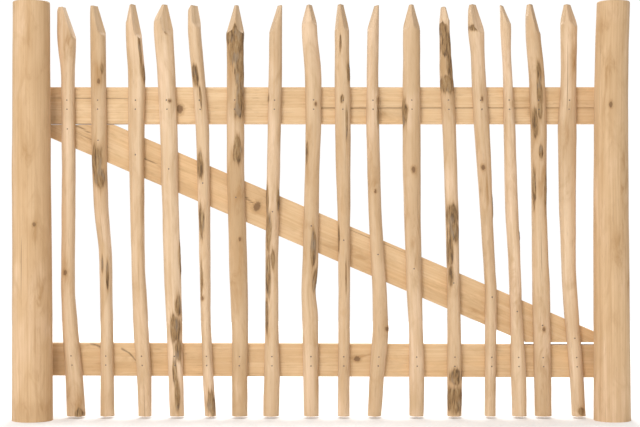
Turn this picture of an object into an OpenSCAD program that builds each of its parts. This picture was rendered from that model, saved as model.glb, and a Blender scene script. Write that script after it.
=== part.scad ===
// Garden gate of cleft and sawn timber: two round posts, and between them a ledged and
// braced leaf with sixteen hewn pickets. The leaf hangs on two pintles behind the right
// post, rests closed against the back of the left post and is held there by a slide bolt.
// Origin: on the ground, on the axis of the hanging post. +X away from the latch post,
// +Y to the back of the gate, the side to which the leaf opens, +Z up.

/* [Posts] */
// Distance between the two posts, centre to centre
post_spacing = 1388; // [1100:1:1800]
// Height of the posts
post_h = 1000; // [800:10:1300]
// Diameter of the hanging post at its top
hanging_top_d = 78; // [70:1:96]
// Diameter of the hanging post at its foot
hanging_foot_d = 88; // [76:1:100]
// Diameter of the latch post at its top
latch_top_d = 88; // [76:1:106]
// Diameter of the latch post at its foot
latch_foot_d = 97; // [80:1:118]
// Worn edge round the top of each post
post_chamfer = 3; // [1:0.5:6]

/* [Rails and brace] */
// Thickness of the sawn boards
board_t = 28; // [20:1:40]
// Width of the top rail
top_rail_w = 89; // [70:1:110]
// Width of the bottom rail
bottom_rail_w = 79; // [64:1:100]
// Width of the diagonal brace
brace_w = 90; // [60:1:110]
// Drop from the top of the posts to the middle of the top rail
top_rail_drop = 244; // [190:1:300]
// Height of the middle of the bottom rail, at mid length
bottom_rail_z = 138; // [110:1:220]
// How much lower the bottom rail sits at its hanging end than at its latch end
bottom_rail_fall = 4.5; // [0:0.5:8]
// How far the rails pass behind the latch post, measured from its centre line
rail_lap = 10; // [6:1:12]
// Gap between the leaf and the back of the latch post, where it comes to rest
rest_gap = 0.5; // [0.3:0.1:3]
// Gap between the hinge pin's axis and the end of the rails
hinge_end_gap = 20; // [18:1:26]
// Gap between the brace and each rail
brace_gap = 2; // [0.5:0.5:5]
// Mean height of the square ends that the brace keeps at its corners
brace_toe = 19; // [8:1:30]
// How much higher the brace lies than midway between the rails
brace_lift = 4; // [0:0.5:6]
// Distance from the end of the rails to the square end of the brace
brace_inset = 6; // [0:1:40]

/* [Pickets] */
// Thickness of a picket, flat back to round front
picket_t = 26; // [18:1:34]
// Height of the pickets' feet above the ground
picket_foot_gap = 5; // [4:1:60]
// Drop from the top of the posts to the tallest picket's tip
picket_tip_drop = 0; // [0:1:60]
// Distance from the latch post's centre to the first picket's place
first_picket_in = 87; // [82:1:110]
// Distance from the hanging post's centre to the last picket's place
last_picket_in = 105; // [100:1:125]

/* [Nails] */
// Diameter of a nail's shank
nail_d = 3; // [2:0.5:4]
// Diameter of a nail's head
nail_head_d = 5.5; // [5:0.5:8]
// Thickness of a nail's head
nail_head_t = 1.2; // [1:0.1:3]
// How deep a nail goes into the board behind the picket
nail_bite = 22; // [14:1:26]
// Distance between the two nails in a rail, one above the other
nail_spread = 22; // [12:1:40]

/* [Hinges] */
// Diameter of the hinge pins and their shanks
pin_d = 14; // [12:1:18]
// Running clearance round a hinge pin
pin_clear = 0.1; // [0.05:0.01:0.1]
// Gap between a hinge eye and the boss that it turns on
eye_gap = 0.3; // [0.2:0.1:1]
// Width of a hinge strap
strap_w = 40; // [30:1:50]
// Thickness of a hinge strap
strap_t = 5; // [4:0.5:8]
// Length of a hinge strap from the pin's axis
strap_len = 320; // [220:5:450]
// Wall of a pintle's forged boss above and below its shank
boss_wall = 4; // [3:0.5:8]
// How far a hinge pin stands above its eye
pin_over = 8; // [3:1:20]
// How deep a pintle's shank is screwed into the post
pintle_bite = 60; // [40:1:64]

/* [Screws] */
// Diameter of the coach screws that hold the straps
coach_d = 6; // [5:0.5:8]
// Width across the flats of a coach screw's head
coach_head_af = 10; // [9:1:13]
// Thickness of a coach screw's head
coach_head_t = 4; // [3:0.5:6]
// How deep the coach screws go into the rail
coach_bite = 22; // [15:1:26]
// Number of coach screws in each strap
coach_n = 4; // [3:1:5]
// Diameter of the small screws that hold the bolt's plate
plate_screw_d = 4; // [3:0.5:5]
// Thickness of a small screw's round head
plate_screw_head_t = 2.5; // [1.5:0.5:4]
// How deep the small screws go into the rail
plate_screw_bite = 16; // [10:1:24]

/* [Slide bolt] */
// Diameter of the bolt
bolt_d = 12; // [10:1:16]
// Running clearance round the bolt in its guides
bolt_clear = 0.1; // [0.05:0.01:0.1]
// Travel of the bolt from open to shut
bolt_throw = 50; // [46:1:60]
// Length of the bolt's plate
plate_len = 130; // [120:1:200]
// Height of the bolt's plate
plate_h = 44; // [36:1:60]
// Thickness of the bolt's plate
plate_t = 3; // [2:0.5:5]
// Length of each guide along the bolt
guide_len = 14; // [10:1:18]
// Wall of a guide round the bolt
guide_wall = 4; // [3:0.5:6]
// Diameter of the bolt's handle
handle_d = 9; // [7:0.5:10]
// How far the handle stands out behind the bolt
handle_reach = 26; // [18:1:40]
// Diameter of the knob on the handle
knob_d = 18; // [12:1:22]
// Distance from the end of the rails to the bolt's plate
plate_inset = 14; // [12:1:30]
// Distance from the end of the rails to the keeper, when the leaf is shut
keeper_clear = 14; // [12:1:20]
// Diameter of the keeper's bar
keeper_d = 8; // [6:0.5:10]
// Gap round the bolt inside the keeper
keeper_gap = 4; // [2:0.5:8]
// How deep the keeper's legs are driven into the post
keeper_bite = 26; // [18:1:34]

/* [Hidden] */
$fn = 48;
round_fn = 24;      // facets of nails and small screws
cut = 1;            // how far a cutter runs past the face that it opens

// Posts
latch_x = -post_spacing;
hanging_x = 0;

// Planes of the leaf, front to back
rail_front_y = latch_foot_d / 2 + rest_gap;
rail_back_y = rail_front_y + board_t;
picket_front_y = rail_front_y - picket_t;

// Hinge: the eye is rolled back from the strap, which lies flat on the rails' back faces
eye_r = pin_d / 2 + pin_clear + strap_t;
pin_x = hanging_x;
pin_y = rail_back_y + eye_r;

// Rails
rail_x0 = latch_x - rail_lap;
rail_x1 = pin_x - hinge_end_gap;
rail_len = rail_x1 - rail_x0;
top_rail_z = post_h - top_rail_drop;
top_rail_under = top_rail_z - top_rail_w / 2;
bottom_rail_z0 = bottom_rail_z + bottom_rail_fall / 2;
bottom_rail_z1 = bottom_rail_z - bottom_rail_fall / 2;
function bottom_rail_mid(x) = lookup(x, [[rail_x0, bottom_rail_z0], [rail_x1, bottom_rail_z1]]);

// Brace: a strip across the field between the rails, whose lower edge meets the latch end
// and whose upper edge meets the hanging end a toe's height from the rail
brace_top = top_rail_under - brace_gap;
brace_bottom = bottom_rail_z0 + bottom_rail_w / 2 + brace_gap;
brace_x0 = rail_x0 + brace_inset;
brace_x1 = rail_x1 - brace_inset;
brace_mid = [(brace_x0 + brace_x1) / 2, (brace_top + brace_bottom) / 2 + brace_lift];
brace_run = (brace_x1 - brace_x0) / 2;
brace_rise = (brace_top - brace_bottom) / 2 - brace_toe;
brace_tilt = atan2(brace_rise, brace_run)
    + asin(brace_w / 2 / sqrt(brace_run * brace_run + brace_rise * brace_rise));
function brace_z(x) = brace_mid[1] - (x - brace_mid[0]) * tan(brace_tilt);

// Pickets
picket_n = 16;
picket_x0 = latch_x + first_picket_in;
picket_pitch = (post_spacing - first_picket_in - last_picket_in) / (picket_n - 1);
picket_z0 = picket_foot_gap;
picket_len = post_h - picket_tip_drop - picket_foot_gap;

// Crooks of each picket: share of its height, sideways wander from its place, width there
CROOKS = [
    [[0, 12, 44], [0.1, 7, 42], [0.2, -2, 37], [0.3, -8, 32], [0.6, -6, 32], [0.84, -8, 32],
        [0.91, -11, 46]],
    [[0, 8, 33], [0.25, 6, 29], [0.4, 3, 30], [0.5, -7, 34], [0.6, -11, 36], [0.92, -15, 37]],
    [[0, 19, 31], [0.1, 17, 35], [0.2, 10, 36], [0.35, 3, 32], [0.5, 0, 33], [0.7, -2, 39],
        [0.82, 0, 42], [0.93, -9, 38]],
    [[0, 17, 34], [0.2, 11, 38], [0.4, 4, 41], [0.5, 1, 39], [0.7, -3, 42], [0.85, -10, 43],
        [0.93, -16, 47]],
    [[0, 18, 27], [0.1, 12, 25], [0.25, 6, 24], [0.45, 4, 28], [0.7, -1, 32], [0.82, -11, 31],
        [0.93, -21, 31]],
    [[0, 9, 37], [0.2, 10, 39], [0.35, 6, 44], [0.6, -1, 42], [0.93, -2, 41]],
    [[0, 5, 38], [0.1, 8, 39], [0.2, 7, 32], [0.4, 7, 31], [0.6, 11, 32], [0.85, 16, 32],
        [0.93, 16, 31]],
    [[0, 23, 36], [0.25, 20, 39], [0.3, 15, 33], [0.35, 20, 38], [0.6, 25, 35], [0.72, 29, 38],
        [0.84, 27, 40], [0.93, 18, 37]],
    [[0, 21, 28], [0.3, 23, 28], [0.5, 22, 31], [0.6, 20, 36], [0.8, 19, 39], [0.86, 17, 34],
        [0.93, 17, 35]],
    [[0, 16, 32], [0.1, 22, 36], [0.2, 31, 39], [0.3, 29, 34], [0.5, 17, 31], [0.7, 12, 32],
        [0.82, 11, 27], [0.93, 13, 28]],
    [[0, 38, 34], [0.1, 39, 38], [0.2, 37, 33], [0.3, 33, 37], [0.5, 28, 40], [0.62, 26, 44],
        [0.93, 26, 41]],
    [[0, 50, 34], [0.1, 51, 36], [0.25, 49, 31], [0.5, 44, 31], [0.7, 38, 32], [0.82, 31, 32],
        [0.87, 28, 27], [0.94, 26, 25]],
    [[0, 57, 26], [0.3, 59, 28], [0.45, 50, 28], [0.6, 43, 34], [0.7, 37, 37], [0.82, 29, 35],
        [0.88, 27, 32], [0.93, 23, 40]],
    [[0, 48, 34], [0.1, 46, 37], [0.25, 40, 28], [0.4, 35, 29], [0.5, 29, 31], [0.7, 24, 28],
        [0.82, 20, 21], [0.88, 16, 21], [0.94, 15, 26]],
    [[0, 26, 40], [0.3, 21, 42], [0.4, 18, 39], [0.5, 16, 35], [0.7, 15, 39], [0.82, 11, 38],
        [0.93, 1, 35]],
    [[0, 32, 33], [0.1, 27, 32], [0.25, 14, 34], [0.35, 8, 34], [0.5, 5, 39], [0.7, 4, 45],
        [0.82, 8, 36], [0.93, 8, 41]]];

// Hewn tip of each picket: depth of its left bevel, depth of its right bevel, width of the
// flat left at the tip, sideways place of that flat, drop of the tip below the tallest
TIPS = [
    [10, 73, 14, -22, 7],
    [12, 64, 15, -24, 4],
    [38, 72, 14, -12, 0],
    [34, 62, 13, -14, 0],
    [12, 40, 15, -21, 3],
    [60, 60, 10, 1, 2],
    [60, 12, 12, 27, 3],
    [44, 44, 13, 18, 1],
    [58, 58, 14, 14, 0],
    [56, 14, 12, 22, 3],
    [56, 56, 11, 26, 0],
    [36, 28, 13, 24, 7],
    [14, 58, 16, 15, 0],
    [12, 40, 13, 3, 3],
    [24, 64, 14, -6, 0],
    [44, 44, 16, 5, 0]];

// Section of a picket, as shares of its width and thickness: flat cleft back, round front
SECTION = [[-0.5, 0], [-0.5, 0.45], [-0.38, 0.8], [-0.14, 1], [0.14, 1], [0.38, 0.8],
    [0.5, 0.45], [0.5, 0]];
tip_thin = 0.35;        // share of the thickness that the tip loses
tip_thin_len = 60;      // length over which it loses it
shaft_shares = [0, 0.05, 0.1, 0.15, 0.2, 0.25, 0.3, 0.35, 0.4, 0.5, 0.6, 0.7, 0.78, 0.84, 0.88];
tip_drops = [80, 68, 56, 44, 32, 20, 10, 0];

function picket_place(i) = picket_x0 + i * picket_pitch;
function picket_top(i) = picket_z0 + picket_len - TIPS[i][4];
function crook_at(i, z, column) = lookup((z - picket_z0) / picket_len,
    [for (c = CROOKS[i]) [c[0], c[column]]]);
function picket_mid(i, z) = picket_place(i) + crook_at(i, z, 1);
function edge_at(i, z, side) = picket_mid(i, z) + side * crook_at(i, z, 2) / 2;

// A bevel runs straight from the edge at its shoulder to the flat at the tip
function bevel_at(i, z, side) =
    let (depth = TIPS[i][side < 0 ? 0 : 1], shoulder = picket_top(i) - depth)
    z <= shoulder ? edge_at(i, z, side)
    : let (flat_x = picket_place(i) + TIPS[i][3] + side * TIPS[i][2] / 2)
        edge_at(i, shoulder, side)
        + (flat_x - edge_at(i, shoulder, side)) * (z - shoulder) / depth;
function depth_at(i, z) =
    picket_t * (1 - tip_thin * max(0, 1 - (picket_top(i) - z) / tip_thin_len));
function picket_heights(i) = concat(
    [for (s = shaft_shares) picket_z0 + s * picket_len],
    [for (d = tip_drops) picket_top(i) - d]);

function picket_points(i) = [for (z = picket_heights(i), p = SECTION)
    let (left = bevel_at(i, z, -1), right = bevel_at(i, z, 1))
    [(left + right) / 2 + p[0] * (right - left), rail_front_y - p[1] * depth_at(i, z), z]];
function ring_faces(rings, sides) = concat(
    [[for (k = [0 : sides - 1]) k]],
    [[for (k = [sides - 1 : -1 : 0]) (rings - 1) * sides + k]],
    [for (r = [0 : rings - 2], k = [0 : sides - 1])
        let (a = r * sides + k, b = r * sides + (k + 1) % sides) [a, a + sides, b]],
    [for (r = [0 : rings - 2], k = [0 : sides - 1])
        let (a = r * sides + k, b = r * sides + (k + 1) % sides) [b, a + sides, b + sides]]);

// Nails
function rail_nail_heights(mid) = [mid - nail_spread / 2, mid + nail_spread / 2];
function top_nails(i) = [for (z = rail_nail_heights(top_rail_z)) [picket_mid(i, z), z]];
function bottom_nails(i) =
    let (mid = bottom_rail_mid(picket_place(i)))
    [for (z = rail_nail_heights(mid)) [picket_mid(i, z), z]];
nail_rim = 12;          // least distance from a brace nail to the brace's cut ends
function brace_nail(i) =
    let (z = min(max(brace_z(picket_place(i)), brace_bottom + nail_rim), brace_top - nail_rim))
    [[picket_mid(i, z), z]];
function picket_nails(i) = concat(top_nails(i), bottom_nails(i), brace_nail(i));

// Hinge straps: lowest point of each eye, and the screws along each strap
upper_strap_z = top_rail_z - strap_w / 2;
lower_strap_z = bottom_rail_mid(rail_x1) - strap_w / 2;
coach_first = 45;       // distance from the pin's axis to the first screw
coach_last_in = 22;     // distance from the last screw to the strap's round end
coach_step = (strap_len - coach_first - coach_last_in) / (coach_n - 1);
coach_xs = [for (k = [0 : coach_n - 1]) pin_x - coach_first - k * coach_step];
strap_hole_gap = 0.5;   // room round a coach screw in the strap

// Slide bolt
bolt_z = top_rail_z;
guide_r = bolt_d / 2 + bolt_clear + guide_wall;
bolt_y = rail_back_y + plate_t + guide_r;
guide_in = 8;           // distance from each end of the plate to its guide
screw_in = 10;          // distance from each guide to the plate's nearest screws
screw_edge = 7;         // distance from the plate's long edges to its screws
handle_stop_gap = 3;    // handle's gap to a guide at each end of its travel
bolt_nose = 3;          // bevel on the bolt's nose
bolt_nose_in = 4;       // how far the open bolt's nose lies inside the end of the rails
bolt_tail = 12;         // how far the open bolt stands out behind its plate
plate_x0 = rail_x0 + plate_inset;
plate_x1 = plate_x0 + plate_len;
guide_xs = [plate_x0 + guide_in, plate_x1 - guide_in - guide_len];
handle_x = guide_xs[0] + guide_len + handle_stop_gap + bolt_throw + handle_d / 2;
bolt_tip_x = rail_x0 + bolt_nose_in;
bolt_tail_x = plate_x1 + bolt_tail;
plate_screw_xs = [guide_xs[0] + guide_len + screw_in, guide_xs[1] - screw_in];
plate_screw_zs = [bolt_z - plate_h / 2 + screw_edge, bolt_z + plate_h / 2 - screw_edge];

// Keeper: the bolt passes through the middle of its bend
keeper_x = rail_x0 - keeper_clear - keeper_d / 2;
keeper_half = bolt_d / 2 + keeper_gap + keeper_d / 2;
keeper_foot_y = latch_back_y(keeper_x) - keeper_bite;

// Radius of each post at a height, and the latch post's back face behind a place on it
function latch_r(z) = latch_foot_d / 2 + (latch_top_d - latch_foot_d) / 2 * z / post_h;
function hanging_r(z) = hanging_foot_d / 2 + (hanging_top_d - hanging_foot_d) / 2 * z / post_h;
function latch_back_y(x) = sqrt(pow(latch_r(bolt_z), 2) - pow(x - latch_x, 2));

// A cylinder that lies along +Y or +X from the origin
module along_y(r, length, facets = $fn) {
    rotate([-90, 0, 0]) cylinder(r = r, h = length, $fn = facets);
}
module along_x(r, length) {
    rotate([0, 90, 0]) cylinder(r = r, h = length);
}

module post_body(foot_d, top_d) {
    rotate_extrude()
        polygon([[0, 0], [foot_d / 2, 0], [top_d / 2, post_h - post_chamfer],
            [top_d / 2 - post_chamfer, post_h], [0, post_h]]);
}

// ---- Posts ----

module hanging_post() {
    color("burlywood")
    difference() {
        translate([hanging_x, 0, 0]) post_body(hanging_foot_d, hanging_top_d);
        for (z = [upper_strap_z, lower_strap_z])
            translate([pin_x, shank_end_y(z), shank_z(z)])
                along_y(pin_d / 2, hanging_foot_d);
    }
}

module latch_post() {
    color("burlywood")
    difference() {
        translate([latch_x, 0, 0]) post_body(latch_foot_d, latch_top_d);
        for (side = [-1, 1])
            translate([keeper_x, keeper_foot_y, bolt_z + side * keeper_half])
                along_y(keeper_d / 2, latch_foot_d);
    }
}

// ---- Pintles ----

// Height of a pintle's shank below its eye, and the inner end of the shank in the post
function shank_z(eye_z) = eye_z - eye_gap - boss_wall - pin_d / 2;
function shank_end_y(eye_z) = hanging_r(shank_z(eye_z)) - pintle_bite;

module pintle(eye_z) {
    boss_h = pin_d + 2 * boss_wall;
    color("silver")
    union() {
        translate([pin_x, shank_end_y(eye_z), shank_z(eye_z)])
            along_y(pin_d / 2, pin_y - shank_end_y(eye_z));
        translate([pin_x, pin_y, eye_z - eye_gap - boss_h]) {
            cylinder(r = eye_r, h = boss_h);
            cylinder(d = pin_d, h = boss_h + eye_gap + strap_w + pin_over);
        }
    }
}

module upper_pintle() pintle(upper_strap_z);
module lower_pintle() pintle(lower_strap_z);

// ---- Keeper for the bolt: a staple driven into the back of the latch post ----

module bolt_keeper() {
    leg_len = bolt_y - keeper_foot_y;
    color("silver")
    translate([keeper_x, bolt_y, bolt_z]) rotate([0, 90, 0])
    union() {
        rotate_extrude(angle = 180) translate([keeper_half, 0]) circle(d = keeper_d);
        for (side = [-1, 1])
            translate([side * keeper_half, 0, 0]) rotate([90, 0, 0])
                cylinder(d = keeper_d, h = leg_len);
    }
}

// ---- Rails and brace ----

// A board standing on edge: its outline is drawn in X and Z and given the boards' thickness
module board(outline) {
    translate([0, rail_back_y, 0]) rotate([90, 0, 0])
        linear_extrude(board_t) polygon(outline);
}

module nail_holes(places) {
    for (p = places)
        translate([p[0], picket_front_y - cut, p[1]])
            along_y(nail_d / 2, picket_t + nail_bite + cut, round_fn);
}

module strap_pilot_holes(eye_z) {
    for (x = coach_xs)
        translate([x, rail_back_y - coach_bite, eye_z + strap_w / 2])
            along_y(coach_d / 2, coach_bite + cut, round_fn);
}

module top_rail() {
    color("wheat")
    difference() {
        board([[rail_x0, top_rail_under], [rail_x1, top_rail_under],
            [rail_x1, top_rail_under + top_rail_w], [rail_x0, top_rail_under + top_rail_w]]);
        for (i = [0 : picket_n - 1]) nail_holes(top_nails(i));
        strap_pilot_holes(upper_strap_z);
        for (x = plate_screw_xs, z = plate_screw_zs)
            translate([x, rail_back_y - plate_screw_bite, z])
                along_y(plate_screw_d / 2, plate_screw_bite + cut, round_fn);
    }
}

module bottom_rail() {
    color("wheat")
    difference() {
        board([[rail_x0, bottom_rail_z0 - bottom_rail_w / 2],
            [rail_x1, bottom_rail_z1 - bottom_rail_w / 2],
            [rail_x1, bottom_rail_z1 + bottom_rail_w / 2],
            [rail_x0, bottom_rail_z0 + bottom_rail_w / 2]]);
        for (i = [0 : picket_n - 1]) nail_holes(bottom_nails(i));
        strap_pilot_holes(lower_strap_z);
    }
}

module brace() {
    color("wheat")
    difference() {
        intersection() {
            translate([brace_mid[0], rail_front_y, brace_mid[1]]) rotate([0, brace_tilt, 0])
                translate([-rail_len, 0, -brace_w / 2]) cube([2 * rail_len, board_t, brace_w]);
            translate([brace_x0, rail_front_y, brace_bottom])
                cube([brace_x1 - brace_x0, board_t, brace_top - brace_bottom]);
        }
        for (i = [0 : picket_n - 1]) nail_holes(brace_nail(i));
    }
}

// ---- Pickets and their nails ----

module picket(i) {
    color("tan")
    difference() {
        polyhedron(picket_points(i), ring_faces(len(picket_heights(i)), len(SECTION)));
        nail_holes(picket_nails(i));
    }
}

module nails(places) {
    color("dimgray")
    for (p = places) {
        translate([p[0], picket_front_y, p[1]])
            along_y(nail_d / 2, picket_t + nail_bite, round_fn);
        translate([p[0], picket_front_y - nail_head_t, p[1]])
            along_y(nail_head_d / 2, nail_head_t, round_fn);
    }
}

module top_rail_nails() nails([for (i = [0 : picket_n - 1]) each top_nails(i)]);
module bottom_rail_nails() nails([for (i = [0 : picket_n - 1]) each bottom_nails(i)]);
module brace_nails() nails([for (i = [0 : picket_n - 1]) each brace_nail(i)]);

// ---- Hinge straps ----

module strap(eye_z) {
    color("silver")
    difference() {
        union() {
            translate([pin_x, pin_y, eye_z]) cylinder(r = eye_r, h = strap_w);
            translate([pin_x - strap_len + strap_w / 2, rail_back_y, eye_z])
                cube([strap_len - strap_w / 2, strap_t, strap_w]);
            translate([pin_x - strap_len + strap_w / 2, rail_back_y, eye_z + strap_w / 2])
                along_y(strap_w / 2, strap_t);
        }
        translate([pin_x, pin_y, eye_z - cut])
            cylinder(r = pin_d / 2 + pin_clear, h = strap_w + 2 * cut);
        for (x = coach_xs)
            translate([x, rail_back_y - cut, eye_z + strap_w / 2])
                along_y(coach_d / 2 + strap_hole_gap, strap_t + 2 * cut, round_fn);
    }
}

module upper_strap() strap(upper_strap_z);
module lower_strap() strap(lower_strap_z);

module strap_screws() {
    hex_sides = 6;
    color("gray")
    for (eye_z = [upper_strap_z, lower_strap_z], x = coach_xs)
        translate([x, rail_back_y, eye_z + strap_w / 2]) {
            translate([0, -coach_bite, 0]) along_y(coach_d / 2, coach_bite + strap_t, round_fn);
            translate([0, strap_t, 0])
                along_y(coach_head_af / 2 / cos(180 / hex_sides), coach_head_t, hex_sides);
        }
}

// ---- Slide bolt ----

module bolt_plate() {
    color("silver")
    difference() {
        union() {
            translate([plate_x0, rail_back_y, bolt_z - plate_h / 2])
                cube([plate_len, plate_t, plate_h]);
            for (x = guide_xs) {
                translate([x, bolt_y, bolt_z]) along_x(guide_r, guide_len);
                translate([x, rail_back_y + plate_t, bolt_z - guide_r])
                    cube([guide_len, guide_r, 2 * guide_r]);
            }
        }
        translate([plate_x0 - cut, bolt_y, bolt_z])
            along_x(bolt_d / 2 + bolt_clear, plate_len + 2 * cut);
        for (x = plate_screw_xs, z = plate_screw_zs)
            translate([x, rail_back_y - cut, z])
                along_y(plate_screw_d / 2, plate_t + 2 * cut, round_fn);
    }
}

module bolt_plate_screws() {
    color("gray")
    for (x = plate_screw_xs, z = plate_screw_zs) {
        translate([x, rail_back_y - plate_screw_bite, z])
            along_y(plate_screw_d / 2, plate_screw_bite + plate_t, round_fn);
        translate([x, rail_back_y + plate_t, z])
            along_y(plate_screw_d, plate_screw_head_t, round_fn);
    }
}

module slide_bolt() {
    color("gray")
    union() {
        translate([bolt_tip_x + bolt_nose, bolt_y, bolt_z])
            along_x(bolt_d / 2, bolt_tail_x - bolt_tip_x - bolt_nose);
        translate([bolt_tip_x, bolt_y, bolt_z]) rotate([0, 90, 0])
            cylinder(r1 = bolt_d / 2 - bolt_nose, r2 = bolt_d / 2, h = bolt_nose);
        translate([handle_x, bolt_y, bolt_z]) along_y(handle_d / 2, bolt_d / 2 + handle_reach);
        translate([handle_x, bolt_y + bolt_d / 2 + handle_reach, bolt_z]) sphere(d = knob_d);
    }
}

hanging_post();
latch_post();
upper_pintle();
lower_pintle();
bolt_keeper();
top_rail();
bottom_rail();
brace();
picket(0);  // picket_01
picket(1);  // picket_02
picket(2);  // picket_03
picket(3);  // picket_04
picket(4);  // picket_05
picket(5);  // picket_06
picket(6);  // picket_07
picket(7);  // picket_08
picket(8);  // picket_09
picket(9);  // picket_10
picket(10);  // picket_11
picket(11);  // picket_12
picket(12);  // picket_13
picket(13);  // picket_14
picket(14);  // picket_15
picket(15);  // picket_16
top_rail_nails();
bottom_rail_nails();
brace_nails();
upper_strap();
lower_strap();
strap_screws();
bolt_plate();
bolt_plate_screws();
slide_bolt();
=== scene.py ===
import math

import bmesh
import bpy
import numpy as np
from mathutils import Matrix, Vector
from mathutils.bvhtree import BVHTree


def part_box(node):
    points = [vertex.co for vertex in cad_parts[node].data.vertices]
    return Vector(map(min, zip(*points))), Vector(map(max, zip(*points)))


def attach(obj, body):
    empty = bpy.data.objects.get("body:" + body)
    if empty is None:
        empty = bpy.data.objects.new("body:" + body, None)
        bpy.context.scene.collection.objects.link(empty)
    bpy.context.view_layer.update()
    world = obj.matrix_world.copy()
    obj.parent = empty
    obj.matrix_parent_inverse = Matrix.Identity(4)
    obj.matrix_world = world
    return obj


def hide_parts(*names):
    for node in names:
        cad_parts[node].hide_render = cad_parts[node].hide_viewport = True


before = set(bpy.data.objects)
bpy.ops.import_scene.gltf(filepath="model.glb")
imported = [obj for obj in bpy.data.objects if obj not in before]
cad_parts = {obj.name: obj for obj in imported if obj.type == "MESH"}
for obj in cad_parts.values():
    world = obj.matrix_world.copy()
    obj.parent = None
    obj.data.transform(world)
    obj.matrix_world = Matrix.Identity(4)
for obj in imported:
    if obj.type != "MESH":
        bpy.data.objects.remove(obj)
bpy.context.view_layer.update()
bpy.context.scene.view_settings.view_transform = "Standard"


# ----------------------------------------
# The two posts: chestnut poles about as thick as a forearm, peeled, sawn square at both
# ends and a little eased round the top. Each is turned from a grid of staves and rings,
# then given the ripples, fibres, stains and filled knots of a pole shaved by hand.
# ----------------------------------------

def add(tree, kind, inputs=None, **settings):
    """Adds a node; each input is a value or another node's output."""
    node = tree.nodes.new(kind)
    for name, value in settings.items():
        setattr(node, name, value)
    for name, value in (inputs or {}).items():
        if isinstance(value, bpy.types.NodeSocket):
            tree.links.new(value, node.inputs[name])
        else:
            node.inputs[name].default_value = value
    return node


def calc(tree, operation, *values, clamp=False):
    """One step of arithmetic on single numbers."""
    inputs = dict(enumerate(values))
    return add(tree, "ShaderNodeMath", inputs, operation=operation, use_clamp=clamp).outputs[0]


def times(tree, first, second):
    return calc(tree, "MULTIPLY", first, second)


def wood_noise(tree, grain, across, along, detail=3.0, roughness=0.55, distortion=0.0):
    """Noise drawn out along the fibres: how many grains per metre across and along them."""
    stretched = add(tree, "ShaderNodeVectorMath", {0: grain, 1: (across, across, along)},
                    operation="MULTIPLY").outputs[0]
    return add(tree, "ShaderNodeTexNoise", {
        "Vector": stretched, "Scale": 1.0, "Detail": detail, "Roughness": roughness,
        "Distortion": distortion}).outputs[0]


def ramp(tree, value, low, high):
    """0 below low, 1 above high, smooth between."""
    return add(tree, "ShaderNodeMapRange", {"Value": value, "From Min": low, "From Max": high},
               interpolation_type="SMOOTHSTEP").outputs[0]


def blend_colour(tree, amount, first, second):
    node = add(tree, "ShaderNodeMix", data_type="RGBA")
    for socket, value in ((node.inputs[0], amount), (node.inputs[6], first), (node.inputs[7], second)):
        if isinstance(value, bpy.types.NodeSocket):
            tree.links.new(value, socket)
        else:
            socket.default_value = value if socket == node.inputs[0] else (*value, 1.0)
    return node.outputs[2]


def new_tree(name, sizes, seeded=True):
    """An empty Geometry Nodes tree and its named inputs: geometry, sizes, a seed and a finish."""
    tree = bpy.data.node_groups.new(name, "GeometryNodeTree")
    inputs = [("Geometry", "Geometry")] + [(size, "Float") for size in sizes]
    inputs += [("Seed", "Int")] * seeded + [("Finish", "Material")]
    for label, kind in inputs:
        tree.interface.new_socket(name=label, in_out="INPUT", socket_type="NodeSocket" + kind)
    tree.interface.new_socket(name="Geometry", in_out="OUTPUT", socket_type="NodeSocketGeometry")
    return tree, add(tree, "NodeGroupInput").outputs


def ended(tree, geometry, finish):
    """Ends a tree: everything made real and given its finish."""
    real = add(tree, "GeometryNodeRealizeInstances", {"Geometry": geometry}).outputs[0]
    done = add(tree, "GeometryNodeSetMaterial", {"Geometry": real, "Material": finish}).outputs[0]
    add(tree, "NodeGroupOutput", {"Geometry": done})
    return tree


def hewn_surface_tree():
    """Lays fibres, ripples, knots, bark and cracks on a piece of timber, along its normals."""
    tree, given = new_tree("hewn_surface", (
        "Fibre depth", "Fibres per metre", "Ripple depth", "Ripples per metre", "Knot height",
        "Bark thickness", "Crack depth"), seeded=False)

    def attribute(name, kind="FLOAT"):
        node = add(tree, "GeometryNodeInputNamedAttribute", {"Name": name}, data_type=kind)
        return node.outputs["Attribute"]

    grain = attribute("grain", "FLOAT_VECTOR")

    def rise(across, along, detail, depth):
        scale = add(tree, "ShaderNodeCombineXYZ", {"X": across, "Y": across, "Z": along}).outputs[0]
        place = add(tree, "ShaderNodeVectorMath", {0: grain, 1: scale}, operation="MULTIPLY")
        noise = add(tree, "ShaderNodeTexNoise", {
            "Vector": place.outputs[0], "Scale": 1.0, "Detail": detail}).outputs[0]
        return times(tree, calc(tree, "SUBTRACT", noise, 0.5), depth)

    fibres, waves = given["Fibres per metre"], given["Ripples per metre"]
    fibre = rise(fibres, times(tree, fibres, 0.05), 2.0, given["Fibre depth"])
    ripple = rise(times(tree, waves, 4.0), waves, 1.5, given["Ripple depth"])
    crust = wood_noise(tree, grain, 160.0, 60.0, detail=3.0)
    bark = times(tree, ramp(tree, attribute("bark"), 0.3, 0.75),
                 times(tree, crust, given["Bark thickness"]))
    knot = times(tree, attribute("knot"), given["Knot height"])
    crack = times(tree, attribute("crack"), given["Crack depth"])
    lift = calc(tree, "ADD", calc(tree, "ADD", fibre, ripple), calc(tree, "ADD", bark, knot))
    lift = calc(tree, "SUBTRACT", lift, crack)
    move = add(tree, "ShaderNodeVectorMath", {0: add(tree, "GeometryNodeInputNormal").outputs[0],
               "Scale": lift}, operation="SCALE").outputs[0]
    moved = add(tree, "GeometryNodeSetPosition", {"Geometry": given["Geometry"], "Offset": move})
    return ended(tree, moved.outputs[0], given["Finish"])


def placed(name, data):
    thing = bpy.data.objects.new(name, data)
    bpy.context.scene.collection.objects.link(thing)
    return thing


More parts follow.
